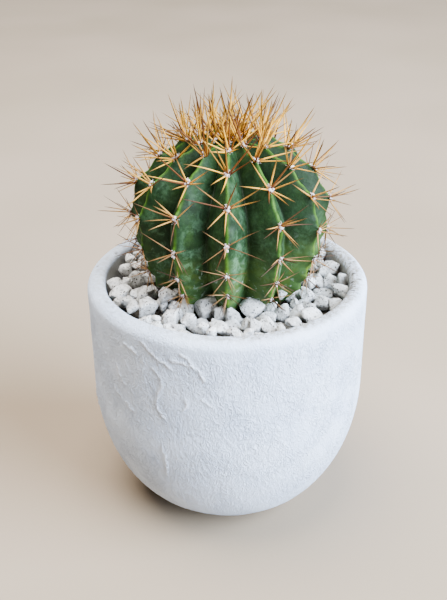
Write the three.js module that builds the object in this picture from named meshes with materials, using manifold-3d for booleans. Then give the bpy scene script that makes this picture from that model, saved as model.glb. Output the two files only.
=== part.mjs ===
// A round ribbed cactus in a matte white pot, with a top dressing of white pumice.
// Millimetres, +Z up, origin at the centre of the pot's foot. -Y is the front.
import * as THREE from 'three';
import { mergeVertices } from 'three/addons/utils/BufferGeometryUtils.js';
import Module from 'manifold-3d';

const wasm = await Module();
wasm.setup();

// ---------- driving dimensions ----------
const gap = 0.35; // clearance between touching pieces

const potHeight = 108;
const potRadius = 60;
const potWall = 7.5;
const potFootRadius = 25;
const potFloor = 8; // thickness over the foot
const potShoulder = 57.6; // where the rounded bottom meets the upright wall
const potRoundness = 1.89; // superellipse exponent of the rounded bottom
const lipOuterRound = 4.2;
const lipInnerRound = 2.2;
const drainRadius = 5;

const soilTop = 92;
const gravelLevel = potHeight - 3.5; // mean height of the stone tops
const gravelRise = 0.06; // the dressing climbs towards the front, mm per mm
const bedDepth = 4; // from the stone tops down to the packed stones between them
const stoneRadius = 4.1;
const stoneSpacing = 7;
const plantContact = 31; // radius at which the dressing meets the ribs

const plantX = 1.2;
const plantY = 0.8;
const plantRadius = 40.6;
const plantWaist = 139; // height of the widest level
const crownHeight = 30.6; // waist to crown
const crownRoundness = 1.82;
const baseHeight = 49.9; // waist to the point where the base would close
const baseRoundness = 2.1;
const crownSink = 3.2;
const crownSinkWidth = 9;
const neckRadius = 22; // the closing underside, below the ribs
const neckHeight = 96;
const rootRadius = 7;
const rootTop = 90;
const rootTipRadius = 4.5;
const rootTip = 64;

const ribCount = 12;
const ribTurn = THREE.MathUtils.degToRad(-2.2); // the front rib stands a little left of centre
const ribDepth = 10;
const crestRound = 0.14; // rounding of the crest, as a share of half a rib
const areoleTurns = 7; // areoles step by 7/12 of their spacing from rib to rib
const areoleBump = 1;
const areoleRadius = 1.9;
const crestColumn = 2.4; // half-width of the crest's narrow facets
const lowestAreole = 84.5; // no areole further down the crest than this

const radialSpines = 8;
const centralRadius = 0.7;
const centralLift = 0.5; // the areole is a low cushion, highest round the central spine
const areoleDip = 0.25;
const oldSpine = 12.5; // lengths at the waist, by the crown and by the stones
const youngSpine = 17.5;
const lowSpine = 8.5;
const rootReach = 1.05; // half the width of a spine at its root, at the widest
const spineRoom = 0.08; // least room between two spines
const stoneClearance = 2.2; // spine tips stay this far above the mean stone tops
const crownLean = 0.5; // by the crown a spine leans out at least this much, clear of the bunch
const crownPadRadius = 8;
const crownPadHeight = 2.6;
const crownSpines = 72;
const crownSpineRadius = 0.62;
const crownSpineSink = 1.4;

// ---------- helpers ----------
const turn = Math.PI * 2;
const { clamp, lerp, smoothstep, degToRad } = THREE.MathUtils;

// a repeatable random number between 0 and 1
function seededRandom(seed) {
  let state = seed;
  return () => {
    state = (state * 1664525 + 1013904223) % 4294967296;
    return state / 4294967296;
  };
}

function toSolid(geometry) {
  const bare = geometry.clone();
  bare.deleteAttribute('normal');
  bare.deleteAttribute('uv');
  const merged = mergeVertices(bare, 1e-4);
  return new wasm.Manifold(new wasm.Mesh({
    numProp: 3,
    vertProperties: new Float32Array(merged.attributes.position.array),
    triVerts: new Uint32Array(merged.index.array),
  }));
}

function toGeometry(solid) {
  const mesh = solid.getMesh();
  const geometry = new THREE.BufferGeometry();
  geometry.setAttribute('position', new THREE.BufferAttribute(mesh.vertProperties, 3));
  geometry.setIndex(new THREE.BufferAttribute(mesh.triVerts, 1));
  geometry.computeVertexNormals();
  return geometry;
}

// turns a profile of [radius, height] pairs about +Z
function lathe(profile, segments) {
  const points = profile.map(([r, z]) => new THREE.Vector2(Math.max(r, 0), z));
  return new THREE.LatheGeometry(points, segments).rotateX(Math.PI / 2);
}

// ---------- pot ----------
// the rounded bottom, from the foot's edge up to the wall
function bowlCurve(wallRadius, footRadius, floorHeight, steps) {
  const curve = [];
  for (let k = 0; k <= steps; k += 1) {
    const a = (k / steps) * Math.PI / 2;
    const out = Math.sin(a) ** (2 / potRoundness);
    const up = 1 - Math.max(Math.cos(a), 0) ** (2 / potRoundness);
    curve.push([
      lerp(footRadius, wallRadius, out),
      lerp(floorHeight, potShoulder, up),
    ]);
  }
  return curve;
}

const cavityRadius = potRadius - potWall;
const cavityCurve = bowlCurve(cavityRadius, potFootRadius - 3, potFloor, 6);

function lipArc(centre, radius, from, to, steps) {
  const arc = [];
  for (let k = 0; k <= steps; k += 1) {
    const a = lerp(from, to, k / steps);
    arc.push([centre + radius * Math.cos(a), potHeight - radius + radius * Math.sin(a)]);
  }
  return arc;
}

function potGeometry() {
  const quarter = Math.PI / 2;
  const outerLip = lipArc(potRadius - lipOuterRound, lipOuterRound, 0, quarter, 4);
  const innerLip = lipArc(cavityRadius + lipInnerRound, lipInnerRound, quarter, Math.PI, 2);
  const profile = [
    [drainRadius, 0],
    ...bowlCurve(potRadius, potFootRadius, 0, 8),
    ...outerLip,
    ...innerLip,
    ...cavityCurve.toReversed(),
    [drainRadius, potFloor],
    [drainRadius, 0],
  ];
  return lathe(profile, 52);
}

// ---------- plant: the crest line of a rib, from the crown down ----------
function crestByAngle(t) {
  const up = t < Math.PI / 2;
  const power = 2 / (up ? crownRoundness : baseRoundness);
  const r = plantRadius * Math.sin(t) ** power;
  const reach = Math.abs(Math.cos(t)) ** power;
  const z = plantWaist + (up ? crownHeight * reach : -baseHeight * reach);
  return { r, z: z - crownSink * Math.exp(-((r / crownSinkWidth) ** 2)) };
}

const crestTable = [];
const crestSteps = 600;
for (let k = 0; k < crestSteps; k += 1) {
  const point = crestByAngle((k / crestSteps) * Math.PI);
  const before = crestTable[k - 1] ?? { ...point, s: 0 };
  const s = before.s + Math.hypot(point.r - before.r, point.z - before.z);
  crestTable.push({ ...point, s });
}

// the crest at s millimetres from the crown's centre, with its outward normal
function crestAt(s) {
  const k = clamp(crestTable.findIndex((p) => p.s > s), 1, crestSteps - 1);
  const a = crestTable[k - 1];
  const b = crestTable[k];
  const share = (s - a.s) / (b.s - a.s);
  const length = Math.hypot(b.r - a.r, b.z - a.z);
  return {
    r: lerp(a.r, b.r, share),
    z: lerp(a.z, b.z, share),
    normalR: (a.z - b.z) / length,
    normalZ: (b.r - a.r) / length,
  };
}

// areoles crowd at the crown, stand widest above the waist and close up again at the base
const areoleMiddle = 42.4;
const areoleReach = 58;
function lengthAtAreole(u) {
  return areoleMiddle + areoleReach * Math.tanh((u - 2.1) / 4);
}

function areoleShift(rib) {
  const shift = (rib * areoleTurns) / ribCount + 0.5;
  return shift - Math.floor(shift) - 0.5;
}

function ribAngle(rib) {
  return (rib / ribCount) * turn + ribTurn;
}

// a point at azimuth a, counted from the front towards +X
function around(a, r, z) {
  return new THREE.Vector3(plantX + r * Math.sin(a), plantY - r * Math.cos(a), z);
}

// how far the flank lies below the crest, at c = -1 to 1 across the rib
function flankShape(c) {
  const rounded = Math.hypot(c, crestRound) - crestRound;
  return (rounded / (Math.hypot(1, crestRound) - crestRound)) ** 1.1;
}

// rows -1, -0.5, 0 and so on run down the plant, two to an areole spacing; each rib shifts its own
const firstRow = -1;
const lastRow = 6.5;
const crestPlace = 3; // of the six columns of a rib, the one on its crest
const ribColumns = 6;

function columnPlaces(r) {
  const near = clamp(crestColumn / (r * (turn / ribCount / 2)), 0.2, 0.6);
  const far = lerp(near, 1, 0.46);
  return [-1, -far, -near, 0, near, far];
}

function rowAreole(rib, row) {
  const ramp = smoothstep(row, -1, 0.5) * (1 - smoothstep(row, 5.5, 7));
  return { ramp, u: row + ramp * areoleShift(rib) };
}

function bodyRing(row, swell) {
  const ring = [];
  for (let rib = 0; rib < ribCount; rib += 1) {
    const { ramp, u: own } = rowAreole(rib, row);
    for (const c of columnPlaces(crestAt(lengthAtAreole(own)).r)) {
      const neighbour = (rib + Math.sign(c) + ribCount) % ribCount;
      const meeting = (areoleShift(rib) + areoleShift(neighbour)) / 2;
      const u = row + ramp * lerp(areoleShift(rib), meeting, Math.abs(c));
      const s = lengthAtAreole(u);
      const crest = crestAt(s);
      const depth = ribDepth * smoothstep(s, 1, 30) * flankShape(c);
      const bump = Number.isInteger(row) ? areoleBump * ramp * Math.exp(-((c / 0.3) ** 2)) : 0;
      const out = bump - depth + swell;
      const a = ribAngle(rib) + (c / 2) * (turn / ribCount);
      const r = Math.max(crest.r + crest.normalR * out, 1);
      ring.push(around(a, r, crest.z + crest.normalZ * out));
    }
  }
  return ring;
}

// the neck and tap root below the ribs
function rootRing(r, z) {
  const columns = ribCount * ribColumns;
  return Array.from({ length: columns }, (_, k) => {
    const a = ribTurn + ((k - crestPlace) / columns) * turn;
    return around(a, r, z);
  });
}

// ---------- plant: the skin, with every areole opened into a star of spines ----------
function plantGeometry(swell, starAt) {
  const rings = [];
  for (let row = firstRow; row <= lastRow; row += 0.5) rings.push(bodyRing(row, swell));
  rings.push(rootRing(neckRadius + swell, neckHeight));
  rings.push(rootRing(rootRadius + swell, rootTop));
  rings.push(rootRing(rootTipRadius + swell, rootTip - swell));
  const columns = ribCount * ribColumns;
  const vertices = rings.flat();
  const triangles = [];
  const at = (j, k) => j * columns + ((k + columns) % columns);
  const stars = new Map();
  for (let rib = 0; rib < ribCount; rib += 1) {
    for (let row = 0; starAt && row < lastRow; row += 1) {
      const star = starAt(rib, row);
      if (star) stars.set(at((row - firstRow) * 2, rib * ribColumns + crestPlace), star);
    }
  }
  // the diagonals meet in the areoles, so that eight facets surround each of them
  const addFacet = (a, b, c) => {
    const corner = [a, b, c].findIndex((v) => stars.has(v));
    if (corner < 0) triangles.push([a, b, c]);
    else {
      const [v, from, to] = [...[a, b, c].slice(corner), ...[a, b, c].slice(0, corner)];
      stars.get(v).facets.push({ from, to });
    }
  };
  for (let j = 0; j + 1 < rings.length; j += 1) {
    for (let k = 0; k < columns; k += 1) {
      const [a, b, c, d] = [at(j, k), at(j, k + 1), at(j + 1, k + 1), at(j + 1, k)];
      if ((j + k) % 2 === 1) {
        addFacet(a, d, c);
        addFacet(a, c, b);
      } else {
        addFacet(a, d, b);
        addFacet(b, d, c);
      }
    }
  }
  for (const [centre, star] of stars) addStar(vertices, triangles, centre, star);
  const top = vertices.push(around(0, 0, crestAt(0).z + swell)) - 1;
  const bottom = vertices.push(around(0, 0, rootTip - swell)) - 1;
  for (let k = 0; k < columns; k += 1) {
    triangles.push([top, at(0, k), at(0, k + 1)]);
    triangles.push([bottom, at(rings.length - 1, k + 1), at(rings.length - 1, k)]);
  }
  const geometry = new THREE.BufferGeometry();
  const positions = vertices.flatMap((v) => [v.x, v.y, v.z]);
  geometry.setAttribute('position', new THREE.Float32BufferAttribute(positions, 3));
  geometry.setIndex(triangles.flat());
  return geometry;
}

// a central spine on the areole's vertex, and around it a ring of spines on four-sided roots
function addStar(vertices, triangles, centre, star) {
  const { frame, tips, centralTip } = star;
  const hub = vertices[centre].clone();
  const corner = (radius, lift, k) => {
    const theta = (k / radialSpines) * turn;
    const point = hub.clone().addScaledVector(frame.towardsCrown, radius * Math.cos(theta));
    point.addScaledVector(frame.side, radius * Math.sin(theta));
    return vertices.push(point.addScaledVector(frame.normal, lift)) - 1;
  };
  const inner = [];
  const outer = [];
  for (let k = 0; k < radialSpines; k += 1) {
    inner.push(corner(centralRadius, centralLift, k));
    outer.push(corner(areoleRadius, -areoleDip, k));
  }
  vertices[centre] = centralTip;
  // the skin's eight corners round the areole, in the same order as the ring's
  const skinCorners = orderRound(star, vertices, hub);
  for (let k = 0; k < radialSpines; k += 1) {
    const next = (k + 1) % radialSpines;
    triangles.push([outer[k], skinCorners[next], skinCorners[k]]);
    triangles.push([outer[k], outer[next], skinCorners[next]]);
    const tip = vertices.push(tips[k]) - 1;
    triangles.push([tip, outer[next], outer[k]], [tip, outer[k], inner[k]]);
    triangles.push([tip, inner[k], inner[next]], [tip, inner[next], outer[next]]);
    triangles.push([centre, inner[next], inner[k]]);
  }
}

function orderRound({ frame, facets }, vertices, hub) {
  const angle = (index) => {
    const away = vertices[index].clone().sub(hub);
    const theta = Math.atan2(away.dot(frame.side), away.dot(frame.towardsCrown));
    return (theta + turn + 0.05) % turn;
  };
  return facets.map((facet) => facet.from).sort((a, b) => angle(a) - angle(b));
}

// ---------- spines ----------
const placedSpines = []; // every spine so far, as a line from root to tip

function roomAround(line) {
  const onLine = new THREE.Vector3();
  const onOther = new THREE.Vector3();
  let room = Infinity;
  for (const other of placedSpines) {
    if (other.start.distanceToSquared(line.start) > 1600) continue;
    const apart = Math.sqrt(line.distanceSqToLine3(other, onLine, onOther));
    const left = 1 - onLine.distanceTo(line.start) / line.distance();
    const otherLeft = 1 - onOther.distanceTo(other.start) / other.distance();
    room = Math.min(room, apart - rootReach * (left + otherLeft));
  }
  return room;
}

// tries a few seeded turns of a spine and keeps the first that clears all the others
function placeSpine(make, random) {
  let best = null;
  let bestRoom = -Infinity;
  for (let tries = 0; tries < 90 && bestRoom < spineRoom; tries += 1) {
    const line = make(() => (random() - 0.5) * (1 + tries * 0.03));
    const room = roomAround(line);
    if (room > bestRoom) [best, bestRoom] = [line, room];
  }
  return best;
}

function areoleFrame(rib, u) {
  const a = ribAngle(rib);
  const s = lengthAtAreole(u);
  const crest = crestAt(s);
  const radial = new THREE.Vector3(Math.sin(a), -Math.cos(a), 0);
  const normal = radial.clone().multiplyScalar(crest.normalR);
  normal.z = crest.normalZ;
  const side = new THREE.Vector3(Math.cos(a), Math.sin(a), 0);
  const towardsCrown = new THREE.Vector3().crossVectors(side, normal).negate();
  return { s, radial, normal, side, towardsCrown };
}

// keeps a spine out of the crown's bunch and above the stones
function clearDirection(direction, root, radial, length) {
  const outward = direction.dot(radial);
  const needed = crownLean * direction.z;
  if (root.z > plantWaist && outward < needed) {
    direction.addScaledVector(radial, needed - outward);
  }
  direction.normalize();
  const steepest = (stoneTopAt(root.y) + stoneClearance - root.z) / length;
  for (let bends = 0; bends < 30 && direction.z < steepest; bends += 1) {
    direction.addScaledVector(radial, 0.1).normalize();
  }
}

function areoleStar(rib, row, random) {
  const { ramp, u } = rowAreole(rib, row);
  const frame = areoleFrame(rib, u);
  if (frame.s > lowestAreole) return null;
  const crest = crestAt(frame.s);
  const hub = around(ribAngle(rib), crest.r, crest.z);
  hub.addScaledVector(frame.normal, areoleBump * ramp);
  const youth = 1 - smoothstep(frame.s, 10, 60);
  const age = smoothstep(frame.s, 55, 90);
  const fullLength = lerp(lerp(oldSpine, youngSpine, youth), lowSpine, age);
  const rootPlace = (centralRadius + areoleRadius) / 2;
  const rise = degToRad(lerp(25, 48, youth));
  const central = placeSpine((jitter) => {
    const direction = frame.normal.clone();
    direction.addScaledVector(frame.towardsCrown, 0.1 + jitter() * 0.5);
    direction.addScaledVector(frame.side, jitter() * 0.5);
    const length = fullLength * (1.1 + jitter() * 0.2);
    clearDirection(direction, hub, frame.radial, length);
    return new THREE.Line3(hub, hub.clone().addScaledVector(direction, length));
  }, random);
  const radials = [];
  for (let k = 0; k < radialSpines; k += 1) {
    const middle = ((k + 0.5) / radialSpines) * turn;
    const line = placeSpine((jitter) => {
      const theta = middle + jitter() * 0.35;
      const lift = rise + jitter() * 0.25;
      const length = fullLength * (0.98 + jitter() * 0.24);
      const root = hub.clone();
      root.addScaledVector(frame.towardsCrown, Math.cos(middle) * rootPlace);
      root.addScaledVector(frame.side, Math.sin(middle) * rootPlace);
      const direction = frame.normal.clone().multiplyScalar(Math.sin(lift));
      direction.addScaledVector(frame.towardsCrown, Math.cos(theta) * Math.cos(lift));
      direction.addScaledVector(frame.side, Math.sin(theta) * Math.cos(lift));
      clearDirection(direction, root, frame.radial, length);
      return new THREE.Line3(root, root.clone().addScaledVector(direction, length));
    }, random);
    radials.push(line);
  }
  placedSpines.push(central, ...radials);
  return { frame, facets: [], tips: radials.map((line) => line.end), centralTip: central.end };
}

function cactusGeometry() {
  const random = seededRandom(31);
  return plantGeometry(0, (rib, row) => areoleStar(rib, row, random));
}

// ---------- crown: a woolly cushion with the youngest spines standing in it ----------
function crownSpineSolid({ start, end }) {
  const direction = end.clone().sub(start);
  const length = direction.length() + crownSpineSink;
  const cone = new THREE.ConeGeometry(crownSpineRadius, length, 3);
  cone.translate(0, length / 2 - crownSpineSink, 0);
  const upright = new THREE.Vector3(0, 1, 0);
  const turned = new THREE.Quaternion().setFromUnitVectors(upright, direction.normalize());
  cone.applyQuaternion(turned);
  cone.translate(start.x, start.y, start.z);
  return toSolid(cone);
}

function crownGeometry() {
  const random = seededRandom(77);
  const firstRing = crestAt(lengthAtAreole(firstRow));
  const rimZ = crestAt(crownPadRadius).z;
  const profile = [
    [0, crestAt(0).z + gap],
    [firstRing.r, firstRing.z + gap],
    [crownPadRadius, rimZ + gap],
    [crownPadRadius - 0.6, rimZ + gap + 1.6],
    [crownPadRadius * 0.6, rimZ + crownPadHeight],
    [0, rimZ + crownPadHeight + 0.6],
  ];
  const pad = lathe(profile, 20);
  pad.translate(plantX, plantY, 0);
  let solid = toSolid(pad);
  const golden = degToRad(137.5);
  for (let k = 0; k < crownSpines; k += 1) {
    const share = Math.sqrt((k + 0.5) / crownSpines);
    const a = k * golden;
    const r = share * (crownPadRadius - 1.3);
    const root = around(a, r, rimZ + crownPadHeight * (1 - 0.35 * share * share));
    const lean = share * 0.36;
    const direction = new THREE.Vector3(Math.sin(a) * lean, -Math.cos(a) * lean, 1);
    direction.x += (random() - 0.5) * 0.16 * (1 - share);
    direction.y += (random() - 0.5) * 0.16 * (1 - share);
    direction.normalize();
    const tip = root.clone().addScaledVector(direction, lerp(13, 20.5, random()));
    const line = new THREE.Line3(root, tip);
    placedSpines.push(line);
    solid = solid.add(crownSpineSolid(line));
  }
  return toGeometry(solid);
}

// ---------- soil, with a plain hole for the neck and the root ----------
function soilGeometry() {
  const filling = lathe([
    [0, potFloor + gap],
    ...cavityCurve.map(([r, z]) => [r - gap, z + gap]),
    [cavityRadius - gap, soilTop],
    [0, soilTop],
  ], 32);
  const slope = (neckHeight - rootTop) / (neckRadius - rootRadius);
  const hole = lathe([
    [0, rootTip - gap],
    [rootTipRadius + gap, rootTip - gap],
    [rootRadius + gap, rootTop - gap],
    [rootRadius + gap + (soilTop + 1 - rootTop + gap) / slope, soilTop + 1],
    [0, soilTop + 1],
  ], 24);
  hole.translate(plantX, plantY, 0);
  return toGeometry(toSolid(filling).subtract(toSolid(hole)));
}

// ---------- pumice ----------
function stoneSolid(random, x, y, z, size) {
  const stone = new THREE.IcosahedronGeometry(size, 0);
  stone.deleteAttribute('normal');
  stone.deleteAttribute('uv');
  const merged = mergeVertices(stone, 1e-4);
  const at = merged.attributes.position;
  for (let k = 0; k < at.count; k += 1) {
    const swell = lerp(0.84, 1.14, random());
    at.setXYZ(k, at.getX(k) * swell, at.getY(k) * swell, at.getZ(k) * swell);
  }
  merged.scale(1.05, lerp(0.8, 1, random()), lerp(0.75, 0.9, random()));
  merged.rotateX(random() - 0.5);
  merged.rotateY(random() - 0.5);
  merged.rotateZ(random() * turn);
  merged.translate(x, y, z);
  return toSolid(merged);
}

// places for the stones between plant and pot, none nearer to another than stoneSpacing
function scatterStones(random) {
  const nearest = plantContact + stoneRadius * 0.7;
  const furthest = cavityRadius - stoneRadius * 0.9;
  const places = [];
  for (let tries = 0; tries < 6000; tries += 1) {
    const a = random() * turn;
    const r = Math.sqrt(lerp(nearest ** 2, furthest ** 2, random()));
    const place = new THREE.Vector2(r * Math.cos(a), r * Math.sin(a));
    if (places.every((other) => other.distanceTo(place) > stoneSpacing)) places.push(place);
  }
  return places;
}

function stoneTopAt(y) {
  return gravelLevel - gravelRise * y;
}

function gravelGeometry() {
  const random = seededRandom(5);
  const outer = cavityRadius - gap;
  const bed = lathe([
    [0, soilTop + gap],
    [outer, soilTop + gap],
    [outer, gravelLevel - bedDepth],
    [0, gravelLevel - bedDepth],
  ], 60);
  const at = bed.attributes.position;
  for (let k = 0; k < at.count; k += 1) {
    if (at.getZ(k) > soilTop + 1) at.setZ(k, stoneTopAt(at.getY(k)) - bedDepth);
  }
  let solid = toSolid(bed);
  for (const { x, y } of scatterStones(random)) {
    const size = stoneRadius * lerp(0.86, 1.16, random());
    const z = stoneTopAt(y) - size * 0.85 + (random() - 0.5) * 1.4;
    solid = solid.add(stoneSolid(random, x, y, z, size));
  }
  const cavity = lathe([
    [0, soilTop + gap],
    [outer, soilTop + gap],
    [outer, potHeight + 10],
    [0, potHeight + 10],
  ], 60);
  // the flanks slope, so the plant is swollen by more than the gap along its crests
  const plantRoom = toSolid(plantGeometry(gap * 1.8));
  return toGeometry(solid.intersect(toSolid(cavity)).subtract(plantRoom));
}

// ---------- materials and assembly ----------
function matte(color, roughness) {
  return new THREE.MeshStandardMaterial({ color, roughness, metalness: 0, flatShading: true });
}

function piece(name, geometry, material) {
  const mesh = new THREE.Mesh(geometry, material);
  mesh.name = name;
  return mesh;
}

// the crown comes first: the spines of the ribs then keep clear of its bunch
const group = new THREE.Group();
group.name = 'potted_round_cactus';
group.add(
  piece('crown', crownGeometry(), matte(0xc9913f, 0.6)),
  piece('cactus', cactusGeometry(), matte(0x3c6b3a, 0.55)),
  piece('pumice_gravel', gravelGeometry(), matte(0xdcdde0, 0.9)),
  piece('soil', soilGeometry(), matte(0x3a2c22, 0.95)),
  piece('pot', potGeometry(), matte(0xe6e8ea, 0.85)),
);

export default group;
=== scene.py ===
import math

import bmesh
import bpy
import numpy as np
from mathutils import Matrix


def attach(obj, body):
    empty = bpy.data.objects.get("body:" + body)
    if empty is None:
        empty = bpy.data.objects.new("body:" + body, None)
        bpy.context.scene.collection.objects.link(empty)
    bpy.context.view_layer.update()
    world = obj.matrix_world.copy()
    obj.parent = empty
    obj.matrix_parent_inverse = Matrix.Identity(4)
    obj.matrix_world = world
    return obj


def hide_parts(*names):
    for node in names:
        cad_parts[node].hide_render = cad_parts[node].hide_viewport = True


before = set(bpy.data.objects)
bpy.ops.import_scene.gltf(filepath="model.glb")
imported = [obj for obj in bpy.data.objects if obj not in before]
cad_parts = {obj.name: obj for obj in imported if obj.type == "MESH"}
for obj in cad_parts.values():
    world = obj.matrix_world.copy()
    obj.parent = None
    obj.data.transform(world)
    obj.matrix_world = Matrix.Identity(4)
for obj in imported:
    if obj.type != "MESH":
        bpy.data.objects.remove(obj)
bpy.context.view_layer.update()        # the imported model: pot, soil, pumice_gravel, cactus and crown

print("frame loaded")

# Shapes are worked out in millimetres and scaled to metres when their mesh is made.
mm = 0.001
fullTurn = 2 * math.pi
goldenAngle = math.radians(137.5)


# small tools for shapes
def lerp(a, b, share):
    return a + (b - a) * share


def smoothstep(x, low, high):
    t = np.clip((x - low) / (high - low), 0, 1)
    return t * t * (3 - 2 * t)


def bell(x, width):
    # 1 at the middle, fading out on both sides
    return np.exp(-(x / width) ** 2)


def unit(vectors):
    return vectors / np.maximum(np.linalg.norm(vectors, axis=-1, keepdims=True), 1e-9)


def dot(a, b):
    return (a * b).sum(axis=-1, keepdims=True)


def scrambled(cell, seed):
    # a repeatable number from -1 to 1 for each cell of a lattice; any large odd factors will do
    mixed = cell[:, 0] * 73856093 ^ cell[:, 1] * 19349663 ^ cell[:, 2] * 83492791 ^ seed * 7919
    mixed = mixed & 0xFFFFFFFF
    mixed = ((mixed ^ (mixed >> 15)) * 2246822519) & 0xFFFFFFFF
    mixed = ((mixed ^ (mixed >> 13)) * 3266489917) & 0xFFFFFFFF
    return ((mixed ^ (mixed >> 16)) & 0xFFFF) / 32767.5 - 1


def noiseAt(points, size, seed):
    # smooth noise, about -1 to 1, whose bumps are some size millimetres apart
    place = points / size + seed * 13.7     # each seed is another part of the lattice
    cell = np.floor(place).astype(np.int64)
    inside = place - cell
    fade = inside ** 3 * (inside * (inside * 6 - 15) + 10)
    total = np.zeros(len(points))
    for corner in range(8):
        step = np.array([corner & 1, corner >> 1 & 1, corner >> 2 & 1])
        weight = np.prod(np.where(step, fade, 1 - fade), axis=1)
        slope = np.stack([scrambled(cell + step, seed * 3 + axis) for axis in range(3)], axis=1)
        total += weight * ((inside - step) * slope).sum(axis=1)
    return total * 1.5


def aroundAxis(azimuth, radius, height, centre=(0, 0)):
    # azimuth 0 is the front, -Y, and it grows towards +X
    x = centre[0] + radius * np.sin(azimuth)
    y = centre[1] - radius * np.cos(azimuth)
    return np.stack(np.broadcast_arrays(x, y, height), axis=-1)


def ringFaces(rows, columns, flip=False):
    # quads between neighbouring rings of a closed grid
    j, k = np.meshgrid(np.arange(rows - 1), np.arange(columns), indexing="ij")
    after = (k + 1) % columns
    quads = np.stack([j * columns + k, j * columns + after,
                      (j + 1) * columns + after, (j + 1) * columns + k], axis=-1)
    quads = quads.reshape(-1, 4)
    return quads[:, ::-1] if flip else quads


def fanFaces(ring, hub, flip=False):
    fan = np.stack([ring, np.roll(ring, -1), np.full(len(ring), hub)], axis=-1)
    return fan[:, ::-1] if flip else fan


def copiesOf(faces, count, size):
    # the same faces on a row of shapes that have this many points each
    return (faces + np.arange(count)[:, None, None] * size).reshape(-1, faces.shape[1])


def sweepTubes(paths, radii, sides):
    # closed tubes along paths (n, k, 3) with radii (n, k), and where each vertex is along its tube
    count, rings = radii.shape
    ahead = unit(np.gradient(paths, axis=1))
    leastAxis = np.eye(3)[np.abs(ahead[:, 0]).argmin(axis=1)][:, None]
    across = unit(leastAxis - dot(leastAxis, ahead) * ahead)
    upward = np.cross(ahead, across)
    angle = (np.arange(sides) / sides * fullTurn)[None, None, :, None]
    offset = across[:, :, None] * np.cos(angle) + upward[:, :, None] * np.sin(angle)
    walls = paths[:, :, None] + offset * radii[:, :, None, None]
    points = np.concatenate([walls.reshape(count, -1, 3), paths[:, :1], paths[:, -1:]], axis=1)
    ring = np.arange(sides)
    ends = np.concatenate([fanFaces(ring, rings * sides, flip=True),
                           fanFaces(ring + (rings - 1) * sides, rings * sides + 1)])
    each = rings * sides + 2
    along = np.concatenate([np.repeat(np.linspace(0, 1, rings), sides), [0, 1]])
    return {
        "points": points.reshape(-1, 3),
        "faces": [copiesOf(ringFaces(rings, sides), count, each), copiesOf(ends, count, each)],
        "along": np.tile(along, count),
        "owner": np.repeat(np.arange(count), each),
    }


def icoSphere(subdivisions):
    grown = bmesh.new()
    bmesh.ops.create_icosphere(grown, subdivisions=subdivisions, radius=1)
    points = np.array([v.co[:] for v in grown.verts])
    faces = np.array([[v.index for v in f.verts] for f in grown.faces])
    grown.free()
    return unit(points), faces


def addObject(name, data):
    made = bpy.data.objects.new(name, data)
    bpy.context.scene.collection.objects.link(made)
    return made


def makePiece(name, points, faces, material, values):
    # a smooth mesh piece that stands still on the root body, with named values for its vertices
    mesh = bpy.data.meshes.new(name)
    corners = np.concatenate([part.ravel() for part in faces]).astype(np.int32)
    sizes = np.concatenate([np.full(len(part), part.shape[1]) for part in faces])
    mesh.vertices.add(len(points))
    mesh.vertices.foreach_set("co", (points * mm).astype(np.float32).ravel())
    mesh.loops.add(len(corners))
    mesh.loops.foreach_set("vertex_index", corners)
    mesh.polygons.add(len(sizes))
    starts = np.concatenate([[0], np.cumsum(sizes)[:-1]]).astype(np.int32)
    mesh.polygons.foreach_set("loop_start", starts)
    mesh.polygons.foreach_set("use_smooth", np.ones(len(sizes), dtype=bool))
    for key, value in values.items():
        layer = mesh.attributes.new(key, "FLOAT", "POINT")
        layer.data.foreach_set("value", np.asarray(value, dtype=np.float32).ravel())
    mesh.update(calc_edges=True)
    mesh.validate()
    mesh.materials.append(material)
    piece = addObject(name, mesh)
    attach(piece, "root")
    print(name, len(mesh.vertices), "vertices")
    return piece


# small tools for materials: each socket knows the node tree that it is in
def colour(text):
    # "#rrggbb" as Blender's linear colour
    parts = [int(text[k:k + 2], 16) / 255 for k in (1, 3, 5)]
    return [((c + 0.055) / 1.055) ** 2.4 if c > 0.04045 else c / 12.92 for c in parts] + [1]


def addNode(tree, kind, inputs, **settings):
    made = tree.nodes.new("ShaderNode" + kind)
    for key, value in settings.items():
        setattr(made, key, value)
    for key, value in inputs.items():
        if isinstance(value, bpy.types.NodeSocket):
            tree.links.new(value, made.inputs[key])
        else:
            made.inputs[key].default_value = value
    return made


def newMaterial(name, **constants):
    material = bpy.data.materials.new(name)
    material.use_nodes = True
    shader = material.node_tree.nodes["Principled BSDF"]
    for key, value in constants.items():
        shader.inputs[key.replace("_", " ")].default_value = value
    place = addNode(material.node_tree, "TexCoord", {}).outputs["Object"]
    return material, shader, place


def finish(shader, base, normal, roughness=None):
    links = shader.id_data.links
    links.new(base, shader.inputs["Base Color"])
    links.new(normal, shader.inputs["Normal"])
    if roughness:
        links.new(roughness, shader.inputs["Roughness"])


def attribute(place, name):
    # a value that the mesh carries for each vertex
    return addNode(place.id_data, "Attribute", {}, attribute_name=name).outputs["Fac"]


def stretched(place, **settings):
    return addNode(place.id_data, "Mapping", {"Vector": place, **settings}).outputs[0]


def noise(place, size, detail=3.0, roughness=0.5, distortion=0.0):
    # size in millimetres
    inputs = {"Vector": place, "Scale": 1 / (size * mm), "Detail": detail,
              "Roughness": roughness, "Distortion": distortion}
    return addNode(place.id_data, "TexNoise", inputs).outputs["Fac"]


def ramp(value, low, high, start=0.0, end=1.0):
    inputs = {"Value": value, "From Min": low, "From Max": high, "To Min": start, "To Max": end}
    return addNode(value.id_data, "MapRange", inputs, interpolation_type="SMOOTHSTEP").outputs["Result"]


def patches(place, size, low, high, *kind):
    # soft patches where a noise climbs from low to high
    return ramp(noise(place, size, *kind), low, high)


def dots(place, size, edge, heart):
    # small round dots, one in each cell of this size
    inputs = {"Vector": place, "Scale": 1 / (size * mm)}
    away = addNode(place.id_data, "TexVoronoi", inputs, feature="F1").outputs["Distance"]
    return ramp(away, edge, heart)


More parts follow.
